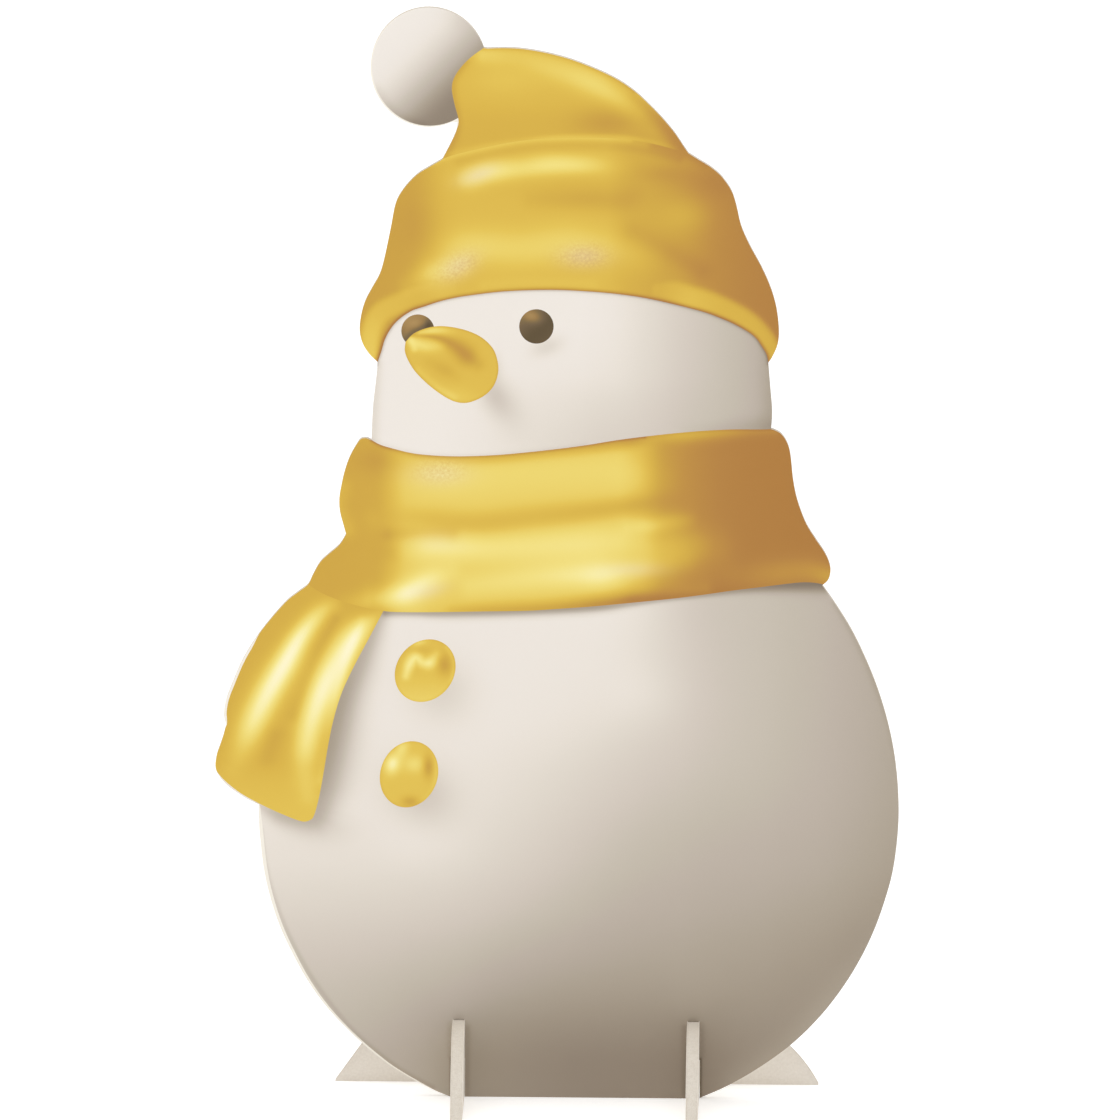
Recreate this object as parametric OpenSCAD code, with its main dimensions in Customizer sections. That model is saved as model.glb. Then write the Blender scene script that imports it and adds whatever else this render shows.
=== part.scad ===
// Free-standing foam-board snowman: a printed cut-out panel that is slotted
// over two feet, with a cross brace slotted over the feet behind it.
// Millimetres. Origin: middle of the panel's thickness, on the floor.
// +Z up, +X to the viewer's right, -Y towards the viewer.

/* [Board] */
// thickness of the foam core
core_t = 9; // [4:0.5:16]
// thickness of each card facing
liner_t = 0.5; // [0.3:0.1:1.2]
// thickness of the printed, laminated sheet on the panel's front
film_t = 0.3; // [0.1:0.1:0.5]

/* [Figure] */
// turn of the whole drawn figure about the middle of its base, degrees
figure_turn = 0.4; // [-2:0.1:2]
// sideways shift that centres the figure over the origin
figure_x = 2.3; // [-10:0.1:10]
// half width of the pompom
pompom_rx = 47.7; // [44:0.1:52]
// half height of the pompom
pompom_rz = 49.2; // [46:0.1:53]
// pompom centre, sideways
pompom_x = -104.8; // [-108:0.1:-102]
// pompom centre, above the floor
pompom_z = 851.3; // [848:0.1:855]

/* [Feet] */
// length of a foot, front to back
foot_len = 300; // [240:5:400]
// height of a foot
foot_h = 64; // [50:1:80]
// radius of the rounded ends of a foot
foot_r = 120; // [80:5:160]
// middle of the left foot
foot_left_x = -78.6; // [-90:0.1:-70]
// middle of the right foot
foot_right_x = 114; // [105:0.1:120]

/* [Brace] */
// middle of the brace, behind the panel
brace_y = 86; // [60:1:110]
// left end of the brace, at the floor
brace_left = -181.5; // [-200:0.5:-140]
// right end of the brace, at the floor
brace_right = 217; // [180:0.5:230]
// slope of the brace's straight left end, degrees from the floor
brace_slope = 54.5; // [40:0.5:80]
// radius of the brace's rounded right end
brace_r = 120; // [80:5:160]

/* [Slots] */
// width of the two slots in the panel
panel_slot_w = 10.9; // [10.5:0.1:14]
// clearance beside a foot, on the inner side of a panel slot
slot_play = 0.3; // [0.1:0.1:1]
// clearance on each side of a board in the other slots
cross_play = 0.5; // [0.2:0.1:1]

/* [Hidden] */
$fn = 96;
board_t = core_t + 2 * liner_t;
half_core = core_t / 2;
half_board = board_t / 2;
slot_h = foot_h / 2;          // half-lap joint: each board is cut half way
eps = 1;

// Outline control points, going round anticlockwise from the right end of the
// base. Each list is one smooth curve, and the lists meet at the corners.
body_right = [
  [112, -3], [118, 0], [140, 9.8], [166.5, 25.3], [194, 45.5], [217, 68.5], [235, 92],
  [249, 115], [260, 138], [268.5, 161.5], [275.5, 187], [279.5, 216], [280.5, 243],
  [278, 277], [271.5, 311], [260.5, 346], [245, 381], [231.5, 404], [217.6, 424.3]];
scarf_right = [
  [217.6, 424.3], [222.4, 428.7], [224.4, 435.5], [223.5, 442.5], [219.5, 451.5],
  [212.5, 462], [205, 474], [200, 486], [196, 499], [193.5, 513], [192, 528], [190.4, 537.5],
  [187.4, 544.7], [183.4, 549.7], [178.5, 552.4], [175.7, 553.2]];
head_right = [[175.7, 553.2], [176.5, 568], [175, 587], [173.3, 608]];
cuff_right = [
  [173.3, 608], [177, 613.8], [181, 623.5], [182, 635], [180, 653], [175.2, 670],
  [167.7, 687], [158, 705], [151, 721], [147, 738], [143, 750], [136, 760.3], [131, 765.4],
  [124.5, 770.4], [116.2, 775.4], [107.8, 780.7]];
hat_right = [
  [107.8, 780.7], [103.5, 787], [96.5, 797.5], [87, 809], [76, 820.5], [63.5, 832],
  [46, 843.5], [19, 855.3], [-3, 862], [-26, 866.3], [-44, 867.3], [-59.8, 866.7]];
hat_left = [[-81.7, 806], [-82.5, 799], [-85.5, 791.5], [-89.5, 783.5], [-93.7, 775.5]];
cuff_left = [
  [-93.7, 775.5], [-103.5, 769.8], [-115, 762.5], [-125.5, 751], [-132, 739], [-136, 719],
  [-141, 695], [-145, 681], [-151, 670], [-157, 658.5], [-160.5, 646], [-161.5, 634],
  [-159, 623.5], [-153.5, 614.8], [-147, 608.5]];
head_left = [[-147, 608.5], [-147.4, 601], [-149, 587], [-150.8, 570], [-152, 543.5]];
scarf_left = [
  [-152, 543.5], [-155.5, 545.2], [-160, 545], [-163.3, 541.5], [-169.5, 530.5], [-173.8, 518.5],
  [-176.5, 507],
  [-178.3, 496], [-177.8, 485], [-175, 474], [-172.8, 466]];
tail_left = [
  [-172.8, 466], [-178, 457.5], [-186, 450.5], [-194, 443], [-200, 432.5], [-204, 424.5],
  [-212.3, 418], [-223.2, 409], [-242.5, 386], [-257.3, 363], [-267.3, 340], [-271.7, 328], [-273.3, 317],
  [-271.5, 308.5]];
tail_tip = [
  [-271.5, 308.5], [-273.5, 300], [-276.5, 291], [-279.5, 281.5], [-279.5, 270.5],
  [-271.5, 259], [-256, 248], [-245, 242.5]];
body_left = [
  [-245, 242.5], [-244.2, 222], [-241, 192], [-236, 168], [-228, 143], [-217.5, 120],
  [-205, 97], [-188.5, 74], [-166.5, 50.8], [-143.5, 31.2], [-128.5, 21], [-112, 11.5],
  [-100, 5.5], [-88, 0.7], [-80, -3]];

steps = 4;  // chords per span between two control points

// Catmull-Rom curve through an open list of points
function at(p, i) = p[max(0, min(len(p) - 1, i))];
function blend_at(a, b, c, d, t) =
  0.5 * (2 * b + (c - a) * t + (2 * a - 5 * b + 4 * c - d) * t * t
         + (3 * b - a - 3 * c + d) * t * t * t);
function curve(p) = [
  for (i = [0 : len(p) - 2]) for (k = [0 : steps - 1])
    blend_at(at(p, i - 1), p[i], p[i + 1], at(p, i + 2), k / steps)];
// the pompom's round edge, from where the hat meets it on the right, over the
// top, to where the hat meets it on the left
function pompom_edge(a0, a1, n) = [
  for (k = [0 : n - 1]) let (a = a0 + (a1 - a0) * k / n)
    [pompom_x + pompom_rx * cos(a), pompom_z + pompom_rz * sin(a)]];

// The figure's outline, drawn facing the viewer
module outline() {
  translate([figure_x, 0])
    rotate(figure_turn)
      polygon(concat(
        curve(body_right), curve(scarf_right), curve(head_right),
        curve(cuff_right), curve(hat_right), pompom_edge(19, 299, 60),
        curve(hat_left), curve(cuff_left), curve(head_left),
        curve(scarf_left), curve(tail_left), curve(tail_tip), curve(body_left)));
}

// Outline with a flat base on the floor and the two slots for the feet
module panel_shape() {
  difference() {
    outline();
    translate([-400, -100]) square([800, 100]);
    translate([foot_left_x + half_board + slot_play - panel_slot_w, -eps])
      square([panel_slot_w, slot_h + eps]);
    translate([foot_right_x - half_board - slot_play, -eps])
      square([panel_slot_w, slot_h + eps]);
  }
}

// A sheet that stands upright facing -Y, from depth y0 to depth y1
module upright(y0, y1) {
  translate([0, y1, 0]) rotate([90, 0, 0]) linear_extrude(height = y1 - y0) children();
}

// Half-round end profile: a board on the floor with a rounded corner of radius r
// at its right end. x1 is where the arc meets the floor.
module rounded_board(x0, x1, h, r) {
  cx = x1 - sqrt(r * r - (r - h) * (r - h));
  square_w = cx - x0;
  translate([x0, 0]) square([square_w, h]);
  intersection() {
    translate([cx, h - r]) circle(r = r);
    translate([cx - eps, 0]) square([r + eps, h]);
  }
}

// Profile of a foot, seen from its side: front end at -foot_len/2
module foot_shape() {
  difference() {
    union() {
      rounded_board(0, foot_len / 2, foot_h, foot_r);
      mirror([1, 0]) rounded_board(0, foot_len / 2, foot_h, foot_r);
    }
    translate([-half_board - film_t - cross_play / 2, slot_h])
      square([board_t + film_t + cross_play, foot_h]);
    translate([brace_y - half_board - cross_play, slot_h])
      square([board_t + 2 * cross_play, foot_h]);
  }
}

// Profile of the brace, seen from the front
module brace_shape() {
  lean = foot_h / tan(brace_slope);
  difference() {
    union() {
      polygon([[brace_left, 0], [0, 0], [0, foot_h], [brace_left + lean, foot_h]]);
      rounded_board(-eps, brace_right, foot_h, brace_r);
    }
    for (x = [foot_left_x, foot_right_x])
      translate([x - half_board - cross_play, -eps])
        square([board_t + 2 * cross_play, slot_h + eps]);
  }
}

// One layer of a foot whose middle is at x, from x + a to x + b
module foot_layer(x, a, b) {
  translate([x + a, 0, 0]) rotate([90, 0, 90]) linear_extrude(height = b - a) foot_shape();
}

module print_film() {
  color([0.90, 0.86, 0.80]) upright(-half_board - film_t, -half_board) panel_shape();
}
module panel_front_liner() {
  color([0.97, 0.94, 0.88]) upright(-half_board, -half_core) panel_shape();
}
module panel_core() {
  color([0.93, 0.91, 0.86]) upright(-half_core, half_core) panel_shape();
}
module panel_back_liner() {
  color([0.95, 0.94, 0.91]) upright(half_core, half_board) panel_shape();
}

module foot_left_core() {
  color([0.86, 0.82, 0.76]) foot_layer(foot_left_x, -half_core, half_core);
}
module foot_left_outer_liner() {
  color([0.96, 0.93, 0.87]) foot_layer(foot_left_x, -half_board, -half_core);
}
module foot_left_inner_liner() {
  color([0.96, 0.93, 0.87]) foot_layer(foot_left_x, half_core, half_board);
}
module foot_right_core() {
  color([0.86, 0.82, 0.76]) foot_layer(foot_right_x, -half_core, half_core);
}
module foot_right_outer_liner() {
  color([0.96, 0.93, 0.87]) foot_layer(foot_right_x, half_core, half_board);
}
module foot_right_inner_liner() {
  color([0.96, 0.93, 0.87]) foot_layer(foot_right_x, -half_board, -half_core);
}

module brace_core() {
  color([0.86, 0.82, 0.76])
    translate([0, brace_y, 0]) upright(-half_core, half_core) brace_shape();
}
module brace_front_liner() {
  color([0.94, 0.91, 0.85])
    translate([0, brace_y, 0]) upright(-half_board, -half_core) brace_shape();
}
module brace_back_liner() {
  color([0.94, 0.91, 0.85])
    translate([0, brace_y, 0]) upright(half_core, half_board) brace_shape();
}

print_film();
panel_front_liner();
panel_core();
panel_back_liner();
foot_left_core();
foot_left_outer_liner();
foot_left_inner_liner();
foot_right_core();
foot_right_outer_liner();
foot_right_inner_liner();
brace_core();
brace_front_liner();
brace_back_liner();
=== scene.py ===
import math

import bpy
import numpy as np
from mathutils import Matrix, Vector
from mathutils.geometry import delaunay_2d_cdt
from mathutils.kdtree import KDTree


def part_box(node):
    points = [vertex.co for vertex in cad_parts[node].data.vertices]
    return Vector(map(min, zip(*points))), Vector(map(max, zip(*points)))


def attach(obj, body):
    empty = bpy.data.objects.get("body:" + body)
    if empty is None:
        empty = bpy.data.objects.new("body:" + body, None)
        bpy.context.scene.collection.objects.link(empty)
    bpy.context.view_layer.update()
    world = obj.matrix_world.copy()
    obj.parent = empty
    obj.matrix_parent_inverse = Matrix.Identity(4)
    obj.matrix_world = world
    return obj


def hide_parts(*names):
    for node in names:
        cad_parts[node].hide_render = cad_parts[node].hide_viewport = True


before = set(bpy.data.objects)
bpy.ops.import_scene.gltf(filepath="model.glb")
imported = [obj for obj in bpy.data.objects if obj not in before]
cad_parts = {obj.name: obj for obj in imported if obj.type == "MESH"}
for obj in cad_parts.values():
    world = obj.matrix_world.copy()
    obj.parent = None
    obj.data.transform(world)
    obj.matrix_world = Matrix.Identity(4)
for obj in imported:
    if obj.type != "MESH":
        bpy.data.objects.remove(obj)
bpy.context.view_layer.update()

# Snowman yard standee: a printed figure of foam board on two slotted feet, with a brace behind.
# Boards and artwork are worked out in millimetres, then made in metres.
MM = 0.001
EDGE_STEP = 3.0         # longest step along a cut or a drawn outline
CLOSE_STEP = 4.0        # mesh spacing on a card facing near its cut
WIDE_STEP = 16.0        # and in its middle
FINE_STEP = 1.4         # mesh spacing of the artwork along outlines and on small marks
BROAD_STEP = 3.0        # and on its plain areas
FINE_BAND = 7           # how far from an outline the fine spacing goes


# ---------------------------------------------------------------- brushes
def curve(points, steps=5):
    """Catmull-Rom curve through a list of points (any number of columns)."""
    p = np.array(points, float)
    p = np.vstack([2 * p[0] - p[1], p, 2 * p[-1] - p[-2]])
    t = (np.arange(steps) / steps)[:, None]
    out = [0.5 * (2 * b + (c - a) * t + (2 * a - 5 * b + 4 * c - d) * t ** 2
                  + (3 * b - a - 3 * c + d) * t ** 3)
           for a, b, c, d in zip(p, p[1:], p[2:], p[3:])]
    return np.vstack(out + [p[-2:-1]])


def inside(shape, x, z):
    """True where a point lies inside a closed outline."""
    odd = np.zeros(np.shape(x), bool)
    for (xa, za), (xb, zb) in zip(shape, np.roll(shape, -1, axis=0)):
        if za != zb:
            crosses = (za > z) != (zb > z)
            odd ^= crosses & (x < (xb - xa) * (z - za) / (zb - za) + xa)
    return odd


def ease(value, knots):
    """Smooth, never overshooting curve through (value, result) pairs."""
    k = np.array(knots, float)
    xs, ys = k[:, 0], k[:, 1]
    h, slope = np.diff(xs), np.diff(ys) / np.diff(xs)
    m = np.zeros(len(xs))
    same = slope[:-1] * slope[1:] > 0
    with np.errstate(divide="ignore", invalid="ignore"):
        mean = 2 * slope[:-1] * slope[1:] / (slope[:-1] + slope[1:])
    m[1:-1] = np.where(same, mean, 0)
    m[0], m[-1] = slope[0], slope[-1]
    v = np.clip(value, xs[0], xs[-1])
    i = np.clip(np.searchsorted(xs, v) - 1, 0, len(h) - 1)
    t = (v - xs[i]) / h[i]
    return ((1 + 2 * t) * (1 - t) ** 2 * ys[i] + t * (1 - t) ** 2 * h[i] * m[i]
            + t * t * (3 - 2 * t) * ys[i + 1] + t * t * (t - 1) * h[i] * m[i + 1])


class Paint:
    """Tones (0 black to 255 white) at a set of places, worked on with soft brushes."""

    def __init__(self, x, z, tone):
        self.x, self.z = x, z
        self.tone = np.zeros(len(x)) + tone

    def spot(self, x, z, rx, rz, change, turn=0):
        """Soft oval dab."""
        a = np.radians(turn)
        u = (self.x - x) * np.cos(a) + (self.z - z) * np.sin(a)
        v = (self.z - z) * np.cos(a) - (self.x - x) * np.sin(a)
        self.tone += change * np.exp(-((u / rx) ** 2 + (v / rz) ** 2))

    def stroke(self, path, width=None, change=None, sharp=2):
        """Soft line through (x, z) points, or through (x, z, width, change) points."""
        p = np.array(path, float)
        if p.shape[1] == 2:
            p = np.column_stack([p, np.full(len(p), width), np.full(len(p), change)])
        p = curve(p)
        reach = 3 * p[:, 2].max()
        rows = np.flatnonzero((self.x > p[:, 0].min() - reach) & (self.x < p[:, 0].max() + reach)
                              & (self.z > p[:, 1].min() - reach) & (self.z < p[:, 1].max() + reach))
        x, z = self.x[rows], self.z[rows]
        gap = np.full(len(rows), 1e9)
        wide, much = np.ones(len(rows)), np.zeros(len(rows))
        for a, b in zip(p[:-1], p[1:]):
            run = b[:2] - a[:2]
            t = np.clip(((x - a[0]) * run[0] + (z - a[1]) * run[1]) / (run @ run + 1e-9), 0, 1)
            here = np.hypot(x - a[0] - t * run[0], z - a[1] - t * run[1])
            closer = here < gap
            gap[closer] = here[closer]
            wide[closer] = a[2] + (b[2] - a[2]) * t[closer]
            much[closer] = a[3] + (b[3] - a[3]) * t[closer]
        self.tone[rows] += much * np.exp(-(gap / np.maximum(wide, 0.1)) ** sharp)


# ---------------------------------------------------------------- outlines of the artwork
# Ovals: middle x, middle z, half width, half height and turn in degrees.
HAT_POMPOM = (-104.2, 851.8, 47, 48.6)
CREASE = [(-100, 773), (-92, 776.5), (-80, 780.3), (-60, 785), (-40, 789.2), (-20, 792), (0, 793),
          (20, 793.5), (40, 793.3), (60, 791.8), (80, 788.3), (100, 783), (108, 780.5), (122, 775)]
HAT_LEFT = [(-59.8, 867.5), (-70, 860), (-78, 852), (-84, 843), (-86, 834), (-84, 822), (-80.5, 808),
            (-82, 800), (-85.5, 791.5), (-91, 783), (-100, 772)]
RIM = [(-147.5, 606), (-146.6, 609), (-144, 616.5), (-140, 629), (-132, 641), (-120, 650), (-108, 654.3),
       (-96, 658.3), (-84, 661.2), (-72, 663.2), (-48, 666.2), (-24, 667.6), (0, 667.9), (24, 666.8),
       (48, 664.8), (72, 661.4), (96, 656.2), (120, 650), (132, 645.7), (144, 640.6), (156, 634),
       (163, 628.5), (168, 621.5), (172, 614.5), (173.5, 607)]
EYE_RIGHT = (-16.7, 637.8, 14.1, 14.2)
EYE_LEFT = (-113.8, 634, 13.6, 13.6)
NOSE = [(-124, 625), (-117, 632), (-106, 636.5), (-95, 638), (-82, 636.5), (-70, 633), (-60, 627.5),
        (-52, 619), (-48.5, 609), (-48, 600), (-51, 590), (-57, 582.5), (-66, 577), (-76, 574.5),
        (-87, 577), (-101, 586), (-114, 598), (-121, 608), (-124.5, 617)]
BUTTON_UPPER = (-108, 353.3, 27.3, 23.5, 52)
BUTTON_LOWER = (-121.3, 267.5, 27.9, 23.5, 70)
# Round places that need the fine mesh all over: middle x, middle z and radius.
SMALL_MARKS = [(-16, 638, 18), (-114, 634, 18), (-88, 606, 42), (-108, 353, 30), (-121, 267, 32)]
HEAD_FROM = 480         # plain areas by height: the body, the head, and no print above
BARE_FROM = 700
BAND_TOP = [(-156, 548), (-152, 544), (-144, 539.7), (-132, 536.2), (-120, 533.3), (-108, 531.7),
            (-90, 530.6), (-72, 530.6), (-48, 531.7), (-24, 533.9), (0, 536.6), (24, 539.8), (48, 543.8),
            (72, 547), (96, 549.7), (120, 551.8), (144, 553), (166, 553), (176, 553.3), (184, 553.5)]
BAND_FOOT = [(222, 424), (214, 426), (204, 426.8), (192, 425.9), (168, 422.8), (144, 419.8), (120, 416.3),
             (96, 413.2), (72, 410.7), (48, 408.3), (24, 406.1), (0, 404.4), (-24, 402.9), (-60, 402.3),
             (-96, 401.7), (-125, 401.6), (-142, 402.5), (-161, 406.3), (-180, 412), (-195, 418.5),
             (-206, 426)]
TAIL_RIGHT = [(-142, 403), (-153, 382), (-165, 359.5), (-176, 336), (-183, 313.5), (-187.5, 292),
              (-191, 271), (-195, 249), (-199, 234), (-202.5, 229.5), (-210, 228.5), (-227, 235),
              (-244, 243), (-260, 252), (-273, 262.5), (-281, 272)]


def oval(cx, cz, rx, rz, turn=0, points=72):
    """Closed outline of a turned oval."""
    a, t = np.linspace(0, 2 * np.pi, points, endpoint=False), np.radians(turn)
    u, v = rx * np.cos(a), rz * np.sin(a)
    return np.column_stack([cx + u * np.cos(t) - v * np.sin(t), cz + u * np.sin(t) + v * np.cos(t)])


def regions():
    """(name, closed outline) pairs, the top one first; the large ones run on past the cut."""
    cuff = np.vstack([curve(RIM), [(300, 606), (300, 773)],
                      curve(CREASE[::-1]), [(-300, 772), (-300, 605)]])
    hat = np.vstack([curve(HAT_LEFT), curve(CREASE), [(300, 773), (300, 900), (-59.8, 900)]])
    band = np.vstack([curve(BAND_TOP), [(300, 553.5), (300, 424)],
                      curve(BAND_FOOT), [(-300, 426), (-300, 548)]])
    tail = np.vstack([curve(TAIL_RIGHT), [(-320, 272), (-320, 460), (-142, 460)]])
    return [
        ("nose", curve(NOSE + NOSE[:1])[:-1]),
        ("eye_right", oval(*EYE_RIGHT)),
        ("eye_left", oval(*EYE_LEFT)),
        ("button_upper", oval(*BUTTON_UPPER)),
        ("button_lower", oval(*BUTTON_LOWER)),
        ("cuff", cuff),
        ("hat", hat),
        ("band", band),
        ("tail", tail),
        ("pompom", oval(*HAT_POMPOM)),
    ]


def classify(x, z):
    """Name of the area of the artwork at each place."""
    name = np.where(z > BARE_FROM, "bare", np.where(z > HEAD_FROM, "head", "body")).astype("U12")
    for label, shape in reversed(regions()):
        name[inside(shape, x, z)] = label
    return name


def on_small_mark(points):
    """True where a point lies on the face's or the buttons' small marks."""
    found = np.zeros(len(points), bool)
    for cx, cz, radius in SMALL_MARKS:
        found |= np.hypot(points[:, 0] - cx, points[:, 1] - cz) < radius
    return found


# ---------------------------------------------------------------- tones of each area
def body(x, z):
    """Big white ball: lit from the upper left, darkest at the bottom."""
    p = Paint(x, z, 231)
    turn_x = ease(z, [(60, -20), (160, 0), (260, 50), (330, 85), (400, 87)])
    turn_w = ease(z, [(100, 125), (260, 100), (320, 55), (400, 28)])
    p.tone -= 32 * (0.5 + 0.5 * np.tanh((x - turn_x) / turn_w))
    p.tone -= ease(x, [(100, 0), (165, 5), (190, 9), (215, 13), (240, 19), (275, 28)])
    p.tone -= ease(z, [(0, 46), (30, 44), (60, 38), (100, 31), (130, 24), (160, 15), (200, 6), (260, 1),
                       (310, 0)])
    p.spot(40, 20, 130, 62, -14)
    p.spot(95, 205, 125, 90, -12)
    p.spot(-25, 40, 95, 72, -12)
    p.spot(72, 335, 30, 26, 6)
    # light that comes back from the ground on the lower right, and the bare left edge's line
    p.stroke([(274, 160, 10, 0), (262, 122, 13, 10), (238, 88, 16, 14), (200, 42, 17, 18),
              (150, 10, 16, 12)])
    p.stroke([(-243, 222), (-238, 188), (-228, 154), (-214, 122), (-195, 90), (-166, 54), (-130, 24),
              (-102, 8)], 2, -14)
    # shadow of the scarf, and of its tail
    p.stroke([(-140, 402, 4, -60), (-118, 401.5, 3.5, -60), (-90, 401.5, 4.4, -66), (-30, 403, 4.4, -70),
              (30, 406, 4.2, -70), (60, 409, 3.2, -52), (90, 412.5, 2.2, -36), (120, 416, 2.2, -36),
              (150, 420.5, 3.6, -44), (180, 424.5, 5.8, -62), (218, 426.5, 7.6, -66)])
    p.stroke([(229, 410, 4, -14), (245, 382, 4, -12), (261, 346, 4, -10), (272, 311, 3, -6),
              (278, 277, 2, -3)])
    p.stroke([(-146, 400, 8, -45), (-165, 358, 14, -58), (-178, 330, 17, -70), (-190, 285, 20, -72),
              (-195, 255, 18, -62), (-200, 233, 12, -46), (-225, 234, 9, -44), (-244, 242, 4, -24)])
    p.spot(-190, 222, 22, 12, -10)
    p.spot(-108, 212, 40, 26, 6)
    # painted shade: dark lines for the shade in the slot gaps, and painted shadows of the feet on the board
    # beside them
    for x0, way in ((-86.8, 1), (117.9, -1)):
        p.stroke([(x0, 0), (x0 + 0.1, 32)], 1.2, -45)
        p.stroke([(x0 + 13 * way, -5), (x0 + 13 * way + 0.3, 58)], 2.5, -13)
        p.stroke([(x0 - way, 34), (x0 - way, 60)], 2, -10)
    # shadows of the buttons
    p.spot(-96, 338, 24, 26, -18, 45)
    p.spot(-112, 253, 23, 29, -26, 45)
    return p.tone


def head(x, z):
    """Smaller white ball, in shade on its right and under the hat's rim."""
    p = Paint(x, z, 233)
    low = ease(z, [(545, 1), (575, 0.6), (600, 0.2), (640, 0)])
    p.tone -= ease(x, [(20, 0), (45, 3), (75, 14), (105, 28), (135, 39), (160, 50), (175, 68)])
    p.tone -= low * ease(x, [(-100, 0), (-60, 4), (0, 15), (40, 21), (70, 16), (120, 6), (160, 0)])
    p.stroke([(-148, 605), (-150, 570), (-151, 545)], 5, -14)
    # shadow of the hat's rim, of the nose and of the eye
    p.stroke(RIM, 1, -34)
    p.stroke(RIM, 2.6, -8)
    p.spot(-49, 604, 5, 13, -9)
    p.stroke([(96, 550, 5, 0), (130, 553, 6, -8), (160, 554, 9, -16), (176, 554, 9, -14)])
    p.stroke(BAND_TOP[:12], 2.2, -9)
    p.spot(-52, 582, 11, 17, -24, 25)
    p.spot(-40, 570, 13, 20, -12, 25)
    p.spot(-8, 621, 13, 7, -16, 20)
    return p.tone


def band(x, z):
    """Scarf round the neck: an upper and a lower roll with a valley between."""
    p = Paint(x, z, 202)
    p.tone += ease(x, [(-180, -34), (-150, -32), (-122, -2), (-110, 0), (48, 0), (66, -12), (90, -44),
                       (130, -61), (160, -67), (200, -70)])
    p.spot(-142, 527, 24, 12, -11)
    p.spot(-162, 409, 17, 8, 13)
    # upper roll, valley, lower roll
    p.stroke([(-120, 512, 16, 4), (-90, 512, 16, 9), (-40, 515, 18, 7), (40, 518, 16, 7),
              (66, 515, 16, 10), (84, 512, 14, 4)])
    p.stroke([(-150, 478, 9, 5), (-118, 480, 9, -12), (-70, 475, 10, -20), (-20, 480, 10, -20),
              (25, 485, 9, -23), (60, 490, 8, -22), (85, 494, 8, -6), (110, 497, 8, 0)])
    p.stroke([(-135, 452, 10, -8), (-118, 455, 12, 12), (-98, 456, 12, 24), (-50, 455, 13, 17),
              (20, 458, 15, 18), (55, 460, 14, 14), (84, 456, 15, 24), (104, 456, 15, 24),
              (130, 455, 16, 8)])
    p.stroke([(-152, 414, 9, 16), (-138, 414, 10, 34), (-122, 418, 10, 40), (-104, 428, 10, 26),
              (-88, 434, 9, 10)])
    p.stroke([(-70, 424, 10, 10), (-20, 430, 11, 16), (10, 432, 11, 22), (36, 433, 11, 30),
              (56, 436, 9, 20), (84, 440, 10, 16), (104, 444, 9, 8)])
    # turned-under lower edge, dark line under the upper edge, lighter right end
    p.stroke([(-100, 400, 8, -5), (-60, 402, 8, -18), (0, 404, 8, -24), (40, 407, 9, -38),
              (66, 410, 9, -48), (100, 413, 8, -22), (150, 418, 8, -3)])
    p.stroke([(-142, 538, 3, -4), (-125, 533, 3.5, -8), (-105, 531, 4.5, -18), (-60, 529.5, 5.5, -22),
              (0, 536, 6, -26), (40, 541, 6, -32), (62, 544, 6, -32), (84, 548, 6, 10), (104, 550, 7, 28),
              (130, 552, 7, 26), (160, 553, 6, 16), (178, 553, 5, 14)])
    p.stroke([(150, 432, 12, 6), (178, 434, 13, 16), (205, 436, 12, 20), (222, 432, 9, 28)])
    p.stroke([(60, 473, 7, 10), (78, 474, 7, 24), (98, 477, 7, 18), (118, 480, 6, 0)])
    p.stroke([(-138, 466), (-112, 467), (-86, 466)], 6, -13)
    p.stroke([(-85, 402, 5, -8), (-20, 404, 6, -12), (30, 407, 8, -16), (58, 412, 7, -12),
              (84, 416, 6, 4), (122, 420, 6, 10)])
    p.stroke(BAND_TOP[1:14], 1.6, -30)
    p.stroke(BAND_TOP[13:], 1.6, -12)
    p.stroke([(-176, 505), (-179, 488), (-172, 470)], 7, 10)
    return p.tone


def tail(x, z):
    """Hanging end of the scarf: two bright folds with a valley between."""
    p = Paint(x, z, 174)
    p.tone += ease(z, [(228, 19), (255, 14), (280, 4), (300, 0)])
    p.stroke([(-176, 412, 7, 0), (-193, 402, 8, 34), (-209, 383, 9, 64), (-223, 359, 11, 72),
              (-238, 333, 12, 66), (-250, 309, 12, 52), (-259, 288, 11, 22), (-265, 274, 9, 8)])
    p.stroke([(-146, 399, 6, 14), (-164, 384, 11, 58), (-181, 359, 13, 64), (-192, 337, 13, 68),
              (-201, 312, 12, 58), (-206, 290, 11, 44), (-207, 272, 11, 20), (-204, 250, 9, 9)])
    p.stroke([(-182, 396), (-197, 366), (-208, 338), (-216, 316)], 5, -8)
    p.stroke([(-160, 394, 4, 8), (-172, 362, 5, 16), (-181, 330, 5, 18), (-189, 292, 4, 8),
              (-194, 262, 4, 8)])
    p.stroke([(-232, 300), (-238, 280)], 7, -6)
    return p.tone


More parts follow.
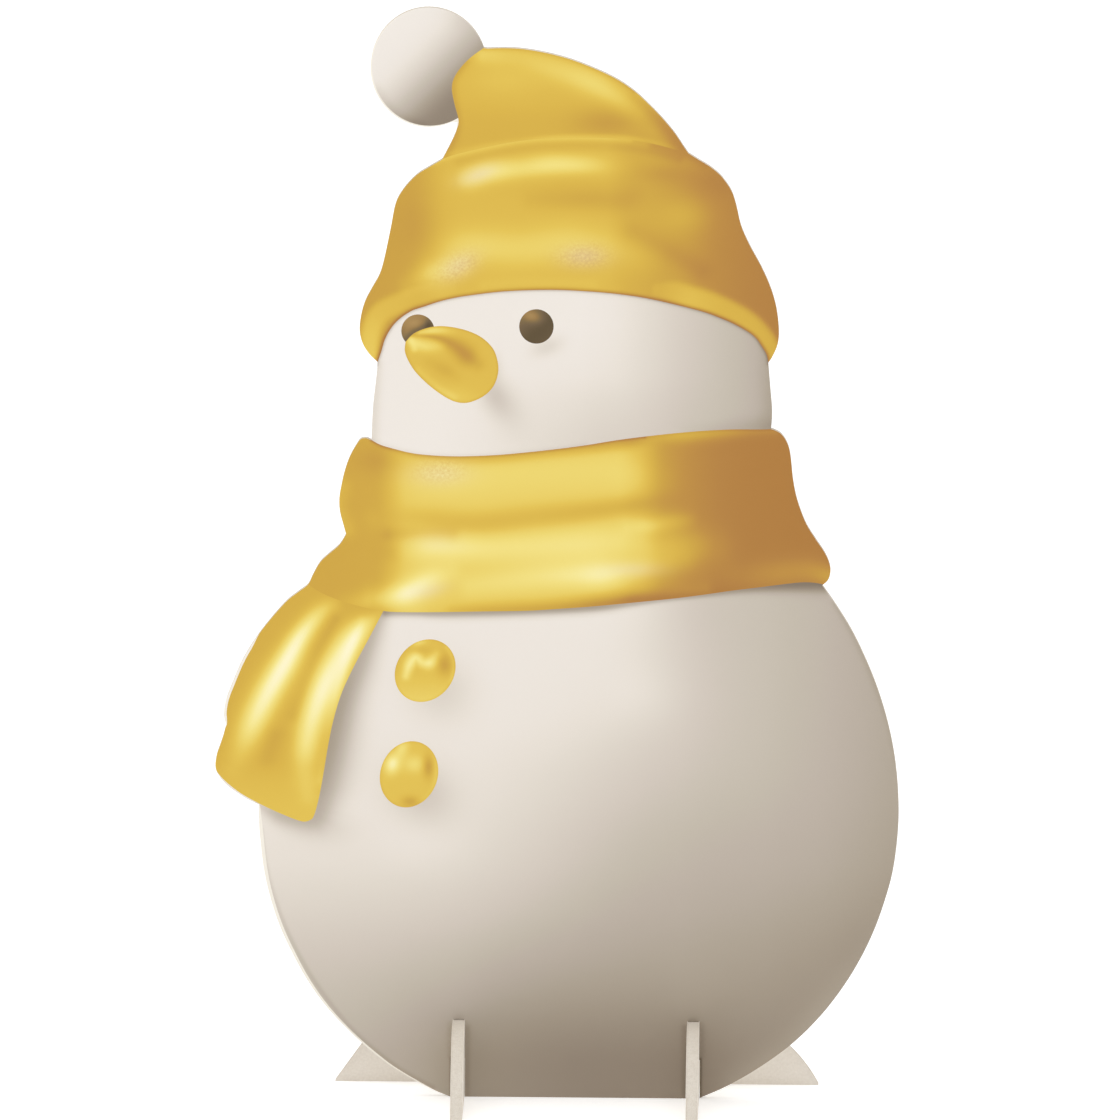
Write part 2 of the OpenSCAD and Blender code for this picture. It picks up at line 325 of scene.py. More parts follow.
def cuff(x, z):
    """Turned-up part of the hat: two soft rolls over a rolled rim."""
    p = Paint(x, z, 185)
    p.tone += ease(x, [(-160, -24), (-120, -20), (-90, -2), (-75, 0), (38, 0), (58, -9), (75, -14),
                       (105, -25), (135, -39), (180, -48)])
    # two bright rolls round the hat, darker between
    p.stroke([(-84, 758, 8, 6), (-72, 760, 9, 30), (-56, 765, 9, 38), (-30, 768, 8.5, 28),
              (-5, 771, 8.5, 34), (20, 771, 8, 28), (45, 770, 8, 8), (65, 770, 8, 0)])
    p.stroke([(-100, 690, 14, 8), (-75, 703, 15, 20), (-30, 702, 16, 19), (10, 706, 16, 20),
              (45, 702, 14, 14), (66, 696, 14, 10), (90, 690, 12, 0)])
    p.stroke([(-122, 672, 8, 10), (-104, 681, 10, 24), (-80, 687, 9, 12)])
    p.stroke([(-20, 742, 8, -6), (25, 742, 9, -12), (56, 742, 10, -10), (74, 752, 9, 0)])
    p.spot(104, 729, 20, 14, 13)
    p.spot(120, 757, 28, 14, -7)
    p.spot(-112, 722, 20, 24, -6)
    p.spot(20, 752, 60, 12, -5)
    p.spot(26, 697, 20, 9, -6)
    p.spot(84, 764, 22, 8, -8)
    p.stroke([(62, 716), (92, 700), (118, 684)], 9, -8)
    # rolled rim with a fine dark line under it
    p.stroke([(-154, 614, 7, 36), (-152, 634, 8.5, 32), (-145, 648, 9, 25), (-132, 656, 8.5, 22),
              (-118, 662, 8, 16), (-104, 666, 7, 9), (-88, 669, 6, 4)], sharp=5)
    p.stroke([(84, 668, 6, 8), (96, 666.5, 9, 18), (110, 662, 9.5, 30), (124, 658, 9.5, 33),
              (138, 652.5, 9, 34), (152, 645, 9, 36), (163, 636, 9, 37), (172, 624, 9, 37),
              (177, 612, 8, 36)], sharp=5)
    p.stroke([(-60, 672), (-20, 674), (30, 673)], 5, 5)
    p.stroke(RIM, 1.8, -42)
    p.stroke(CREASE[:10], 2.6, 12)
    p.stroke(CREASE[10:], 5, -14)
    p.stroke([(x0, z0 - 7) for x0, z0 in CREASE[2:-2]], 4, -8)
    return p.tone


def hat(x, z):
    """Folded-over top of the hat."""
    p = Paint(x, z, 183)
    p.tone -= ease(z, [(785, 7), (805, 6), (825, 1), (840, 0)])
    p.stroke([(-60, 862, 8, 18), (-30, 860, 9, 12), (0, 850, 11, 18), (28, 839, 11, 26), (48, 827, 9, 20),
              (64, 814, 8, 8)])
    p.spot(42, 806, 28, 13, -17)
    p.spot(-40, 842, 34, 15, 9)
    p.stroke([(62, 828, 4, -6), (78, 815, 6, -16), (92, 800, 9, -28), (104, 786, 11, -34)])
    p.spot(72, 788, 14, 9, -10)
    p.stroke([(-76, 856), (-85, 842), (-86, 830), (-83, 812), (-84, 796), (-92, 780)], 4.5, -16)
    p.stroke([(-60, 868), (-44, 868), (-26, 867), (-3, 863), (19, 856), (46, 844), (64, 832.5)], 2.4, -16)
    p.stroke([(-92, 779, 3, 6), (-60, 785.5, 3, 12), (-30, 791, 2.6, 8), (0, 793.5, 2.4, 18),
              (40, 794, 2.6, 18), (64, 792, 2.6, 16), (82, 789, 2.4, 8), (100, 783, 2, 0)])
    return p.tone


def ball(x, z, cx, cz, r, tones):
    """Tone of a ball by how far a place lies from its upper left to its lower right."""
    return ease(((x - cx) - (z - cz)) / 1.414 / r, tones)


def pompom(x, z):
    """Plain white ball at the hat's tip."""
    p = Paint(x, z, 0)
    p.tone += ball(x, z, -105.2, 851.4, 48.5, [(-1, 235), (-0.7, 233), (-0.4, 229), (-0.12, 213),
                                               (0.05, 198), (0.24, 180), (0.4, 161), (0.55, 146),
                                               (0.7, 136), (1, 131)])
    p.spot(-75, 897, 14, 12, -12)
    p.stroke([(-148, 832), (-132, 812), (-112, 803)], 5, -12)
    return p.tone


def eye_right(x, z):
    """Dark round eye with one soft glint."""
    p = Paint(x, z, 0)
    p.tone += ball(x, z, -16.5, 638, 14, [(-1, 112), (-0.3, 96), (0.3, 88), (1, 92)])
    p.spot(-20, 646, 8, 5, 38, -15)
    return p.tone


def eye_left(x, z):
    """The eye behind the nose."""
    p = Paint(x, z, 0)
    p.tone += ball(x, z, -114, 634, 14, [(-1, 140), (-0.2, 128), (0.4, 112), (1, 96)])
    p.spot(-116, 640, 6, 4, 14)
    p.spot(-104, 641, 4, 5, -20)
    p.spot(-127, 632, 3, 6, -14)
    p.stroke([(-124, 626), (-117, 633), (-106, 638)], 3, -22)
    return p.tone


def nose(x, z):
    """Carrot nose, pointing left: bright tip, one deep crease and a soft hollow."""
    p = Paint(x, z, 187)
    p.spot(-84, 580, 22, 8, 9, -10)
    p.stroke([(-122, 628, 4, 22), (-110, 622, 5, 26), (-98, 621, 5, 14), (-90, 619, 4, 0)])
    p.stroke([(-120, 626, 3, 10), (-117, 619, 3, 18)])
    p.stroke([(-112, 633, 3, 18), (-100, 634.5, 3.5, 24), (-86, 634, 4, 6)])
    p.stroke([(-114, 602), (-98, 588), (-84, 579)], 3, 7)
    p.stroke([(-118, 630, 1.5, -14), (-104, 629.5, 2, -26), (-92, 626.5, 4, -28), (-81, 620, 7, -32),
              (-73, 613, 8, -32), (-65, 607, 6, -14)])
    p.stroke([(-104, 608, 5, -6), (-92, 602, 6, -12), (-83, 596, 5, -5)])
    p.stroke(NOSE + NOSE[:1], 1.1, -16)
    return p.tone


def button_upper(x, z):
    """Gold button with a wavy glint."""
    p = Paint(x, z, 190)
    p.tone += ease(z, [(328, 14), (345, 4), (358, -2), (380, -2)])
    p.stroke([(-124, 349, 3.5, 24), (-121, 358, 4.5, 38), (-116, 364, 4.5, 36), (-110, 360, 4.5, 32),
              (-104, 360, 5, 38), (-99, 366, 4, 16)])
    p.spot(-92, 358, 6, 9, -24)
    p.spot(-113, 377, 7, 3, 22, 15)
    p.spot(-110, 370, 8, 3, -6)
    p.stroke([(-90, 373), (-84.5, 360), (-86, 344)], 2, 10)
    p.stroke(list(oval(*BUTTON_UPPER)), 1.1, -10)
    return p.tone


def button_lower(x, z):
    """Gold button with a glint at its upper left."""
    p = Paint(x, z, 192)
    p.spot(-135, 276, 6, 8, 42, -15)
    p.spot(-127, 289, 5, 8, 22, -15)
    p.spot(-117, 276, 9, 7, 20)
    p.spot(-105.5, 274, 4.5, 9, -32)
    p.spot(-120.5, 245, 7, 4.5, -24)
    p.stroke([(-101, 290), (-98, 275), (-100, 255), (-108, 244)], 3, 10)
    p.stroke(list(oval(*BUTTON_LOWER)), 1.1, -10)
    return p.tone


def bare(x, z):
    """Margin with no print."""
    return np.full(len(x), 240.0)


def flecks(area, x, z):
    """Where the print breaks into fine flecks, and where it is paler than plain gold."""
    speck, pale = Paint(x, z, 0), Paint(x, z, 0)
    if area == "cuff":
        for p in (speck, pale):
            p.spot(-80, 688, 17, 9, 1, 30)
            p.spot(22, 696, 19, 9, 1)
        pale.spot(-64, 763, 15, 6, 1, 20)
    if area == "band":
        speck.spot(-95, 518, 18, 8, 1)
        pale.spot(-96, 516, 24, 10, 0.8)
        pale.spot(-106, 419, 16, 6, 0.8, 15)
        pale.spot(-98, 461, 18, 7, 0.4)
        pale.spot(62, 437, 24, 6, 0.7)
    return speck.tone, pale.tone


SHADES = {
    "body": body, "head": head, "band": band, "tail": tail, "cuff": cuff, "hat": hat, "pompom": pompom,
    "eye_right": eye_right, "eye_left": eye_left, "nose": nose,
    "button_upper": button_upper, "button_lower": button_lower, "bare": bare,
}


# ---------------------------------------------------------------- cut sheets
def walk(follow):
    """The closed loop given by a dictionary from each corner to the next."""
    start = next(iter(follow))
    loop, here = [start], follow[start]
    while here != start:
        loop.append(here)
        here = follow[here]
    return loop


def cut_line(node, across):
    """Outline of a flat CAD node in millimetres, looking along its thickness."""
    axis = "xyz".index(across)
    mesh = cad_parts[node].data
    face_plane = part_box(node)[0][axis] / MM
    place = {}
    ids = [place.setdefault(tuple(round(c / MM, 3) for c in v.co), len(place)) for v in mesh.vertices]
    points = np.array(list(place))
    sides = {}
    for poly in mesh.polygons:
        ring = [ids[i] for i in poly.vertices]
        if all(abs(points[i][axis] - face_plane) < 0.01 for i in ring):
            sides.update(((a, b), True) for a, b in zip(ring, ring[1:] + ring[:1]))
    loop = walk({a: b for a, b in sides if (b, a) not in sides})
    line = points[loop][:, [i for i in range(3) if i != axis]]
    area = np.sum(line[:, 0] * np.roll(line[:, 1], -1) - line[:, 1] * np.roll(line[:, 0], -1))
    return line if area > 0 else line[::-1]


def pulled_in(line, by):
    """The outline moved inwards by a small amount."""
    before, after = np.roll(line, 1, axis=0), np.roll(line, -1, axis=0)
    a, b = line - before, after - line
    na = np.column_stack([a[:, 1], -a[:, 0]]) / np.linalg.norm(a, axis=1)[:, None]
    nb = np.column_stack([b[:, 1], -b[:, 0]]) / np.linalg.norm(b, axis=1)[:, None]
    n = na + nb
    n /= np.maximum(np.sum(n * na, axis=1), 0.5)[:, None]
    return line - n * by


def points_inside(line, spacing):
    """Evenly spread points inside an outline, in rows that are set off by half a step."""
    low, high = line.min(0), line.max(0)
    rows = []
    for i, v in enumerate(np.arange(low[1], high[1], spacing * math.sqrt(3) / 2)):
        u = np.arange(low[0] + (i % 2) * spacing / 2, high[0], spacing)
        rows.append(np.column_stack([u, np.full(len(u), v)]))
    points = np.vstack(rows)
    return points[inside(line, points[:, 0], points[:, 1])]


def spaced(line, gap):
    """Closed outline sampled so that no two points are further apart than gap."""
    out = []
    for a, b in zip(line, np.roll(line, -1, axis=0)):
        n = max(1, math.ceil(np.linalg.norm(b - a) / gap))
        out += [a + (b - a) * k / n for k in range(n)]
    return np.array(out)


def distance_to(points, lines):
    """Distance from each point to the nearest of some outlines."""
    marks = np.vstack([spaced(line, 1.0) for line in lines])
    tree = KDTree(len(marks))
    for i, (u, v) in enumerate(marks):
        tree.insert((u, v, 0), i)
    tree.balance()
    return np.array([tree.find((u, v, 0))[2] for u, v in points])


def triangles(line, inner_points, inner_lines=()):
    """Delaunay triangles inside an outline, with edges along the inner lines too."""
    points = [line]
    edges = [(i, (i + 1) % len(line)) for i in range(len(line))]
    count = len(line)
    for ring in inner_lines:
        edges += [(count + i, count + (i + 1) % len(ring)) for i in range(len(ring))]
        points.append(ring)
        count += len(ring)
    points.append(inner_points)
    flat = [Vector(p) for p in np.vstack(points)]
    verts, _, faces, _, _, _ = delaunay_2d_cdt(flat, edges, [], 0, 1e-6)
    verts = np.array([tuple(v) for v in verts])
    faces = np.array(faces)
    middle = verts[faces].mean(axis=1)
    faces = faces[inside(line, middle[:, 0], middle[:, 1])]
    used = np.zeros(len(verts), bool)
    used[faces] = True
    used[:len(line)] = True
    return verts[used], (np.cumsum(used) - 1)[faces]


def rim_of(faces):
    """The corners round the open edge of some triangles, in order."""
    e = np.vstack([faces[:, [0, 1]], faces[:, [1, 2]], faces[:, [2, 0]]])
    have = set(map(tuple, e.tolist()))
    return walk(dict(p for p in have if (p[1], p[0]) not in have))


def to_mesh(name, verts, faces, finishes):
    """A new piece from corners in metres and faces, with its materials."""
    mesh = bpy.data.meshes.new(name)
    mesh.from_pydata(verts.tolist(), [], faces)
    piece = bpy.data.objects.new(name, mesh)
    bpy.context.scene.collection.objects.link(piece)
    for material in finishes:
        mesh.materials.append(material)
    return piece


def smooth_sides(piece, degrees=35):
    """Merge what coincides, face outwards, and shade smooth up to an angle."""
    bpy.ops.object.select_all(action="DESELECT")
    piece.select_set(True)
    bpy.context.view_layer.objects.active = piece
    bpy.ops.object.mode_set(mode="EDIT")
    bpy.ops.mesh.select_all(action="SELECT")
    bpy.ops.mesh.remove_doubles(threshold=1e-6)
    bpy.ops.mesh.normals_make_consistent(inside=False)
    bpy.ops.object.mode_set(mode="OBJECT")
    bpy.ops.object.shade_smooth_by_angle(angle=math.radians(degrees))
    piece.select_set(False)


def cut_rings(line, count, chamfer, recess, rough):
    """The outline at each depth: set back, eased at both faces and uneven between them."""
    rings = []
    for k in range(count):
        edge = k in (0, count - 1)
        ring = pulled_in(line, recess + (chamfer if edge else 0))
        if rough and not edge:
            s = np.arange(len(line)) * 1.9
            wave = np.sin(s + 2.1 * k) + np.sin(1.7 * s - 3.3 * k) + np.sin(0.61 * s + 5 * k)
            ring = ring + (line - pulled_in(line, 1)) * (rough * wave / 3)[:, None]
        rings.append(ring)
    return rings


def cut_sheet(name, node, across, material, chamfer=0.08, recess=0.0, rough=0.0, rows=1):
    """One layer of board, cut along the CAD node's outline, with its edges eased."""
    axis = "xyz".index(across)
    low, high = (c[axis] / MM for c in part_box(node))
    line = spaced(cut_line(node, across), EDGE_STEP)
    middle = [low + chamfer + (high - low - 2 * chamfer) * k / rows for k in range(1, rows)]
    depths = [low, low + chamfer] + middle + [high - chamfer, high]
    rings = cut_rings(line, len(depths), chamfer, recess, rough)
    close, wide = points_inside(line, CLOSE_STEP), points_inside(line, WIDE_STEP)
    gap = distance_to(close, [line])
    inner = np.vstack([close[(gap > 2.5) & (gap < 11)], wide[distance_to(wide, [line]) > 13]])

    def place(points, depth):
        out = np.zeros((len(points), 3))
        out[:, [i for i in range(3) if i != axis]] = points
        out[:, axis] = depth
        return out

    n = len(line)
    verts = [place(ring, depth) for ring, depth in zip(rings, depths)]
    edge = [1.0] * n * len(rings)
    faces = []
    for a in range(0, n * (len(rings) - 1), n):
        b = a + n
        faces += [(a + i, a + (i + 1) % n, b + (i + 1) % n, b + i) for i in range(n)]
    for k in (0, len(rings) - 1):
        flat, tris = triangles(rings[k], inner)
        base = sum(len(v) for v in verts)
        verts.append(place(flat[n:], depths[k]))
        edge += list(np.exp(-(distance_to(flat[n:], [line]) / 5.0) ** 2))
        tris = np.where(tris < n, tris + k * n, tris - n + base)
        faces += [tuple(t) for t in (tris if k else tris[:, ::-1]).tolist()]
    piece = to_mesh(name, np.vstack(verts) * MM, faces, [material])
    worn = piece.data.attributes.new("edge", "FLOAT", "POINT")
    worn.data.foreach_set("value", np.array(edge, np.float32))
    smooth_sides(piece)
    return piece


# ---------------------------------------------------------------- the printed sheet
TURN = math.radians(0.4)     # the drawing leans by this much on the board
SHIFT = 2.3                  # and stands this far to the right, mm


def to_drawing(p):
    """Places on the board as places in the drawing."""
    q = p - [SHIFT, 0]
    return np.column_stack([q[:, 0] * math.cos(TURN) + q[:, 1] * math.sin(TURN),
                            q[:, 1] * math.cos(TURN) - q[:, 0] * math.sin(TURN)])


def from_drawing(p):
    """Places in the drawing as places on the board."""
    return np.column_stack([p[:, 0] * math.cos(TURN) - p[:, 1] * math.sin(TURN) + SHIFT,
                            p[:, 1] * math.cos(TURN) + p[:, 0] * math.sin(TURN)])


def art_edge(line):
    """Outline of the printed area: it lies a little to the right of the cut on some left edges."""
    out = spaced(line, EDGE_STEP)
    along = np.roll(out, -1, axis=0) - np.roll(out, 1, axis=0)
    left = np.clip(-along[:, 1] / np.linalg.norm(along, axis=1), 0, 1) ** 0.5
    x, z = out.T
    by_body = ease(z, [(3, 0), (12, 2.6), (150, 2.8), (215, 3.0), (240, 1.5), (247, 0)])
    by_tail = ease(z, [(306, 0), (315, 2.3), (370, 2.3), (384, 0)])
    margin = np.where((x < -85) & (z < 247), by_body, 0) + np.where((x < -235) & (z > 305), by_tail, 0)
    out[:, 0] += margin * left
    return out


def print_points(line, edges):
    """Mesh points for the artwork: fine along outlines and on small marks, broad elsewhere."""
    fine, broad = points_inside(line, FINE_STEP), points_inside(line, BROAD_STEP)
    gap = distance_to(fine, edges)
    fine = fine[(gap > 0.6) & ((gap < FINE_BAND) | on_small_mark(fine))]
    broad = broad[(distance_to(broad, edges) >= FINE_BAND) & ~on_small_mark(broad)]
    return np.vstack([fine, broad])


def print_values(flat, tris, name):
    """Tone, flecks and paleness at each triangle's corners, for the area that it belongs to."""
    values = np.zeros((3, len(tris), 3))
    for area in np.unique(name):
        rows = np.flatnonzero(name == area)
        used, where = np.unique(tris[rows], return_inverse=True)
        x, z = flat[used, 0], flat[used, 1]
        for layer, value in zip(values, (SHADES[area](x, z) / 255, *flecks(area, x, z))):
            layer[rows] = value[where.reshape(-1, 3)]
    return np.clip(values, 0, 1)


def printed_face(inks):
    """The printed film: one closed thin sheet that carries the whole artwork on its front."""
    node = "print_film"
    front, back = (c[1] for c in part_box(node))
    line = to_drawing(spaced(cut_line(node, "y"), EDGE_STEP))
    art = art_edge(line)
    inner = [spaced(shape, EDGE_STEP) for _, shape in regions()] + [art]
    flat, tris = triangles(line, print_points(line, [line] + inner), inner)
    middle = flat[tris].mean(axis=1)
    name = classify(middle[:, 0], middle[:, 1])
    name[~inside(art, middle[:, 0], middle[:, 1])] = "bare"
    values = print_values(flat, tris, name)
    # a wall round the rim and a plain back close the sheet
    loop = rim_of(tris)
    n, m = len(flat), len(loop)
    rear_tris = triangles(flat[loop], np.zeros((0, 2)))[1]
    world = from_drawing(flat) * MM
    verts = np.zeros((n + m, 3))
    verts[:n, [0, 2]], verts[:n, 1] = world, front
    verts[n:, [0, 2]], verts[n:, 1] = world[loop], back
    walls = [(loop[(i + 1) % m], loop[i], n + i, n + (i + 1) % m) for i in range(m)]
    faces = tris.tolist() + (rear_tris[:, ::-1] + n).tolist() + walls
    piece = to_mesh("printed_sheet", verts, faces, list(inks.values()))
    order = list(inks)
    index = [order.index(INK_OF[a]) for a in name] + [order.index("bare")] * (len(rear_tris) + m)
    piece.data.polygons.foreach_set("material_index", index)
    colour = np.ones((len(piece.data.loops), 4), np.float32)
    colour[:, :3] = (0.96, 0, 0)
    colour[:3 * len(tris), :3] = values.reshape(3, -1).T
    layer = piece.data.color_attributes.new("art", "FLOAT_COLOR", "CORNER")
    layer.data.foreach_set("color", colour.ravel())
    return piece


# ---------------------------------------------------------------- materials
GAIN = 1.023            # how bright the studio light shows a white board
VEIL = 0.026            # the light that the satin film adds over every colour


def appear(r, g, b):
    """Base colour that shows as this colour (0 to 255) in the studio light."""
    out = []
    for c in (r, g, b):
        c /= 255
        linear = c / 12.92 if c <= 0.04045 else ((c + 0.055) / 1.055) ** 2.4
        out.append(max(0.0, min(1.0, (linear - VEIL) / GAIN)))
    return (*out, 1.0)


class Nodes:
    """A node material in the making."""

    def __init__(self, name):
        self.material = bpy.data.materials.new(name)
        self.material.use_nodes = True
        self.tree = self.material.node_tree
        self.shader = self.tree.nodes["Principled BSDF"]

    def add(self, kind, **values):
        """A new node, with values for its sockets or its settings."""
        node = self.tree.nodes.new("ShaderNode" + kind)
        for key, value in values.items():
            if key in node.inputs:
                node.inputs[key].default_value = value
            else:
                setattr(node, key, value)
        return node

    def join(self, a, b):
        """Link an output to an input."""
        self.tree.links.new(a, b)

    def place(self):
        """Coordinates on the piece."""
        return self.add("TexCoord").outputs["Object"]

    def noise(self, scale, detail=2.0, roughness=0.5):
        """Cloudy pattern, 0 to 1."""
        node = self.add("TexNoise")
        node.inputs["Scale"].default_value = scale
        node.inputs["Detail"].default_value = detail
        node.inputs["Roughness"].default_value = roughness
        self.join(self.place(), node.inputs["Vector"])
        return node.outputs["Fac"]

    def math(self, operation, a, b=None, c=None):
        """Arithmetic on numbers or outputs."""
        node = self.add("Math", operation=operation)
        for socket, value in zip(node.inputs, (a, b, c)):
            if value is None:
                continue
            if isinstance(value, (int, float)):
                socket.default_value = value
            else:
                self.join(value, socket)
        return node.outputs[0]

    def ramp(self, value, stops):
        """Colour picked by a value from (position, colour) stops."""
        node = self.add("ValToRGB")
        ramp = node.color_ramp
        while len(ramp.elements) < len(stops):
            ramp.elements.new(0.5)
        for element, (at, _) in zip(ramp.elements, stops):
            element.position = at
        for element, (_, colour) in zip(ramp.elements, stops):
            element.color = colour
        self.join(value, node.inputs["Fac"])
        return node.outputs["Color"]

    def mix(self, amount, first, second):
        """An output's colour, blended towards a fixed one."""
        node = self.add("Mix", data_type="RGBA")
        self.join(amount, node.inputs[0])
        self.join(first, node.inputs[6])
        node.inputs[7].default_value = second
        return node.outputs[2]

    def bump(self, height, strength, distance):
        """Fine relief on the shader."""
        node = self.add("Bump")
        node.inputs["Strength"].default_value = strength
        node.inputs["Distance"].default_value = distance
        self.join(height, node.inputs["Height"])
        self.join(node.outputs["Normal"], self.shader.inputs["Normal"])


def ink(name, stops, grain=0.012, fleck=0.0, pale=None):
    """Satin print: the art's tone picks the colour, with a fine print grain."""
    m = Nodes(name)
    art = m.add("Attribute", attribute_name="art", attribute_type="GEOMETRY")
    split = m.add("SeparateColor")
    m.join(art.outputs["Color"], split.inputs[0])
    dots = m.math("SUBTRACT", m.noise(900, 3, 0.6), 0.5)
    tone = m.math("MULTIPLY_ADD", dots, grain, split.outputs[0])
    if fleck:
        weave = m.math("SUBTRACT", m.noise(520, 2, 0.7), 0.5)
        amount = m.math("MULTIPLY", split.outputs[1], fleck)
        tone = m.math("MULTIPLY_ADD", weave, amount, tone)
    colour = m.ramp(tone, [(t / 255, appear(*c)) for t, c in stops])
    if pale:
        colour = m.mix(m.math("MULTIPLY", split.outputs[2], 0.3), colour, appear(*pale))
    m.join(colour, m.shader.inputs["Base Color"])
    m.join(m.math("MULTIPLY_ADD", m.noise(60, 3), 0.10, 0.40), m.shader.inputs["Roughness"])
    m.bump(m.noise(700, 2), 0.12, 0.0001)
    m.shader.inputs["Specular IOR Level"].default_value = 0.3
    return m.material


def card(name, light, dark):
    """Uncoated card facing: faint fibres, soiled and rubbed a little near the cut."""
    m = Nodes(name)
    edge = m.add("Attribute", attribute_name="edge", attribute_type="GEOMETRY").outputs["Fac"]
    fibre = m.noise(420, 5, 0.65)
    cloud = m.noise(9, 2, 0.4)
    mix = m.math("MULTIPLY_ADD", fibre, 0.6, m.math("MULTIPLY", cloud, 0.4))
    wear = m.math("MULTIPLY", edge, m.noise(160, 4, 0.7))
    colour = m.ramp(m.math("MULTIPLY_ADD", wear, 0.22, mix), [(0.25, appear(*light)), (0.75, appear(*dark))])
    m.join(colour, m.shader.inputs["Base Color"])
    m.join(m.math("MULTIPLY_ADD", fibre, 0.15, 0.62), m.shader.inputs["Roughness"])
    m.bump(fibre, 0.25, 0.0001)
    m.shader.inputs["Specular IOR Level"].default_value = 0.3
    return m.material


def foam(name, light, dark):
    """Cut edge of the foam: fine closed cells, a little torn."""
    m = Nodes(name)
    cells = m.add("TexVoronoi", feature="F1")
    cells.inputs["Scale"].default_value = 1300
    m.join(m.place(), cells.inputs["Vector"])
    torn = m.noise(300, 4, 0.6)
    mix = m.math("MULTIPLY_ADD", torn, 0.6, m.math("MULTIPLY", cells.outputs["Distance"], 0.5))
    m.join(m.ramp(mix, [(0.3, appear(*light)), (0.8, appear(*dark))]), m.shader.inputs["Base Color"])
    m.shader.inputs["Roughness"].default_value = 0.9
    m.shader.inputs["Specular IOR Level"].default_value = 0.2
    m.bump(mix, 0.5, 0.0003)
    return m.material


# Colours of the print, from dark tones to light ones.
GOLD = [(100, (148, 98, 44)), (120, (166, 114, 58)), (132, (177, 127, 70)), (140, (182, 133, 73)),
        (150, (192, 145, 74)), (162, (203, 161, 74)), (172, (211, 172, 76)), (180, (218, 181, 79)),
        (187, (223, 188, 84)), (194, (228, 196, 90)), (201, (233, 205, 102)), (209, (237, 214, 115)),
        (218, (242, 223, 131)), (227, (246, 232, 152)), (236, (250, 240, 178)), (246, (254, 246, 206))]
SNOW = [(60, (76, 62, 48)), (100, (112, 99, 82)), (143, (154, 141, 126)), (159, (170, 158, 142)),
        (169, (179, 168, 153)), (176, (186, 175, 162)), (183, (192, 181, 169)), (189, (197, 188, 174)),
        (195, (203, 194, 181)), (202, (211, 201, 190)), (211, (219, 210, 199)), (219, (226, 218, 207)),
        (226, (233, 225, 215)), (232, (238, 231, 223)), (243, (247, 242, 234))]
EYE = [(60, (80, 62, 38)), (88, (100, 86, 65)), (102, (118, 100, 77)), (115, (134, 113, 79)),
       (129, (156, 126, 82)), (150, (178, 146, 96))]
BARE = [(200, (222, 210, 190)), (240, (246, 240, 228)), (255, (254, 251, 244))]

INK_OF = dict.fromkeys(("nose", "button_upper", "button_lower", "cuff", "hat", "band", "tail"), "gold")
INK_OF.update(dict.fromkeys(("pompom", "head", "body"), "snow"))
INK_OF.update({"eye_right": "eye", "eye_left": "eye", "bare": "bare"})

inks = {
    "gold": ink("gold_ink", GOLD, fleck=0.3, pale=(225, 205, 200)),
    "snow": ink("snow_ink", SNOW),
    "eye": ink("eye_ink", EYE),
    "bare": ink("bare_margin", BARE),
}
facing = card("card_facing", (252, 247, 238), (232, 224, 212))
# the brace's card is the same card as the facing, painted darker: painted shade for the brace standing
# behind the panel
brace_card_painted_shade = card("brace_card_painted_shade", (245, 239, 230), (224, 216, 205))
core = foam("foam_core", (232, 225, 214), (216, 207, 194))

sheet = printed_face(inks)
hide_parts("print_film")
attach(sheet, "panel")

# Body, CAD node and finish of each layer; a layer's thickness lies along its body's axis.
ACROSS = {"panel": "y", "foot_left": "x", "foot_right": "x", "brace": "y"}
LAYERS = [
    ("panel", "panel_front_liner", "card_facing"),
    ("panel", "panel_core", "foam_core"),
    ("panel", "panel_back_liner", "card_facing"),
    ("foot_left", "foot_left_core", "foam_core"),
    ("foot_left", "foot_left_outer_liner", "card_facing"),
    ("foot_left", "foot_left_inner_liner", "card_facing"),
    ("foot_right", "foot_right_core", "foam_core"),
    ("foot_right", "foot_right_outer_liner", "card_facing"),
    ("foot_right", "foot_right_inner_liner", "card_facing"),
    ("brace", "brace_core", "foam_core"),
    ("brace", "brace_front_liner", "card_facing"),
    ("brace", "brace_back_liner", "card_facing"),
]
for body, node, finish in LAYERS:
    if finish == "foam_core":
        piece = cut_sheet(node + "_board", node, ACROSS[body], core, recess=0.5, rough=0.1, rows=6)
    else:
        # brace layers take the darker card instead of card_facing: painted shade
        piece = cut_sheet(node + "_board", node, ACROSS[body], brace_card_painted_shade if body == "brace" else facing)
    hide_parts(node)
    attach(piece, body)


# ---------------------------------------------------------------- stage, light and camera
WHITE = (1, 1, 1, 1)
FLOOR_WIDTH = 400.0     # metres, so that its edge is never seen
FLOOR_GLOW = 0.25       # keeps the floor as white as the sky behind it
SKY = 0.67              # the light that the sky gives
SKY_SEEN = 1.07         # and how bright it shows behind the floor
SUN, SUN_SPREAD = 1.2, math.radians(60)
KEY_WIDTH, KEY_POWER = 2.0, 9.0
KEY_FROM, KEY_AT = Vector((-1.6, -2.4, 2.4)), Vector((0, 0, 0.45))
CAMERA_AT = Vector((0.0018, -0.005, 0.4449))
AZIMUTH, ELEVATION, ROLL = math.radians(0.6), math.radians(7.2), math.radians(0.4)
DISTANCE = 32.0         # far off, so that the figure shows almost no perspective
VIEW_WIDTH = 0.9184     # metres across the picture at the figure
SENSOR = 36


def link(name, data):
    """A new object in the scene."""
    thing = bpy.data.objects.new(name, data)
    bpy.context.scene.collection.objects.link(thing)
    return thing


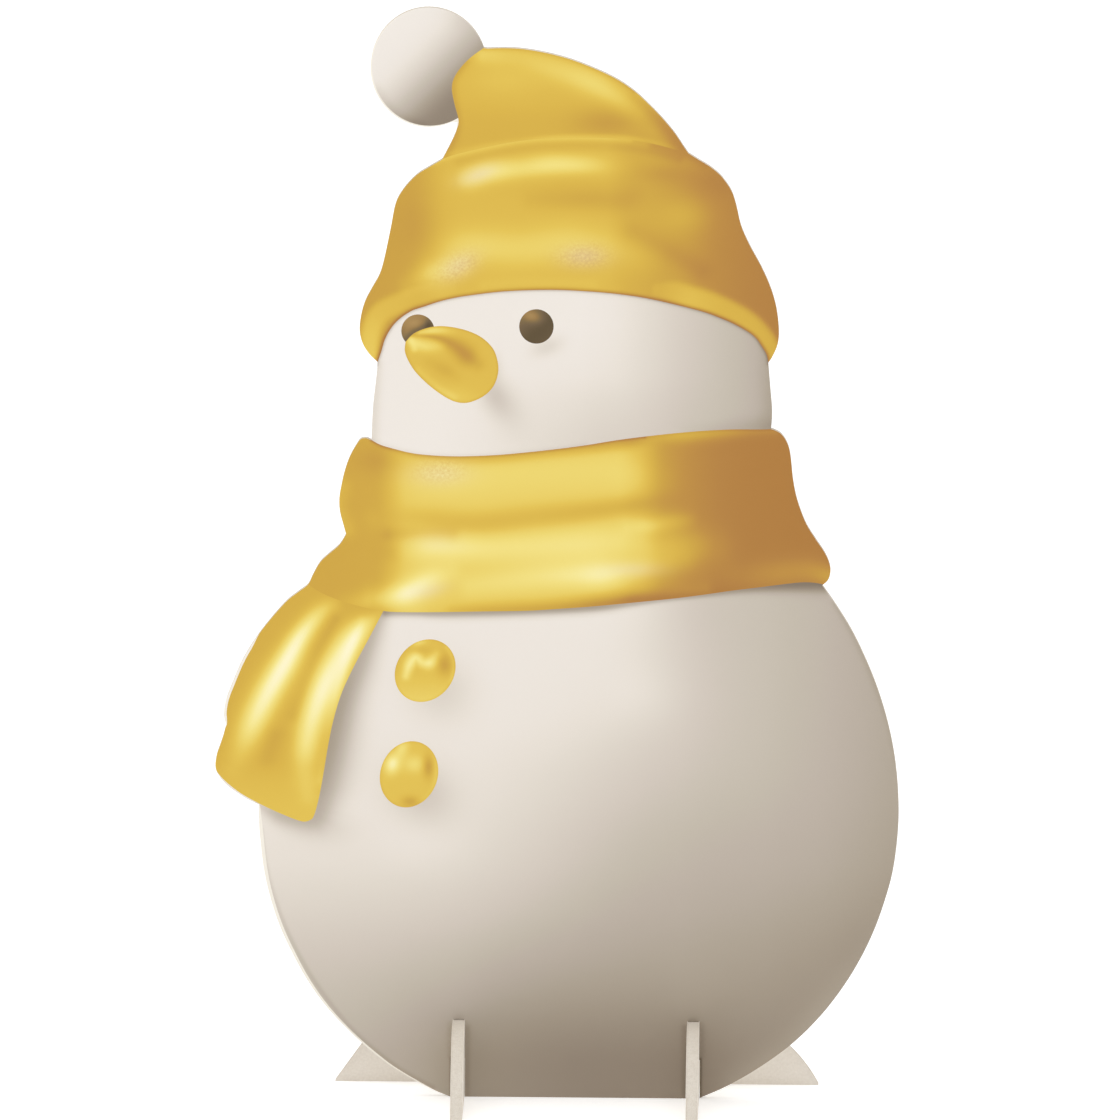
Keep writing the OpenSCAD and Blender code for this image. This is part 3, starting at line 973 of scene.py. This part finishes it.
def stage():
    """White floor and sky, a broad light from above and a soft one from the upper left."""
    bpy.ops.object.select_all(action="DESELECT")
    bpy.ops.mesh.primitive_plane_add(size=FLOOR_WIDTH, location=(0, 0, 0))
    floor = bpy.context.object
    floor.name = "floor"
    m = Nodes("studio_floor")
    greys = m.ramp(m.noise(0.8, 2), [(0, (0.93, 0.93, 0.93, 1)), (1, (0.95, 0.95, 0.95, 1))])
    m.join(greys, m.shader.inputs["Base Color"])
    m.shader.inputs["Roughness"].default_value = 0.9
    m.shader.inputs["Specular IOR Level"].default_value = 0.0
    m.shader.inputs["Emission Color"].default_value = WHITE
    m.shader.inputs["Emission Strength"].default_value = FLOOR_GLOW
    floor.data.materials.append(m.material)
    world = bpy.data.worlds.new("studio")
    world.use_nodes = True
    world.node_tree.nodes["Background"].inputs["Color"].default_value = WHITE
    nodes, links = world.node_tree.nodes, world.node_tree.links
    seen, strength = nodes.new("ShaderNodeLightPath"), nodes.new("ShaderNodeMath")
    strength.operation = "MULTIPLY_ADD"
    strength.inputs[1].default_value = SKY_SEEN - SKY
    strength.inputs[2].default_value = SKY
    links.new(seen.outputs["Is Camera Ray"], strength.inputs[0])
    links.new(strength.outputs[0], nodes["Background"].inputs["Strength"])
    bpy.context.scene.world = world
    top = link("top_light", bpy.data.lights.new("top_light", "SUN"))
    top.data.energy, top.data.angle = SUN, SUN_SPREAD
    key = link("soft_key", bpy.data.lights.new("soft_key", "AREA"))
    key.data.shape, key.data.size, key.data.energy = "SQUARE", KEY_WIDTH, KEY_POWER
    key.location = KEY_FROM
    key.rotation_euler = (KEY_AT - KEY_FROM).to_track_quat("-Z", "Y").to_euler()
    bpy.context.scene.view_settings.view_transform = "Standard"


def camera():
    """Long lens, almost square to the figure and a little above it."""
    level = math.cos(ELEVATION)
    back = Vector((math.sin(AZIMUTH) * level, -math.cos(AZIMUTH) * level, math.sin(ELEVATION)))
    cam = link("camera", bpy.data.cameras.new("camera"))
    cam.data.sensor_width = SENSOR
    cam.data.lens = SENSOR * DISTANCE / VIEW_WIDTH
    cam.data.clip_end = 1000
    turn = (-back).to_track_quat("-Z", "Y").to_matrix() @ Matrix.Rotation(ROLL, 3, "Z")
    cam.rotation_euler = turn.to_euler()
    cam.location = CAMERA_AT + back * DISTANCE
    bpy.context.scene.camera = cam


stage()
camera()
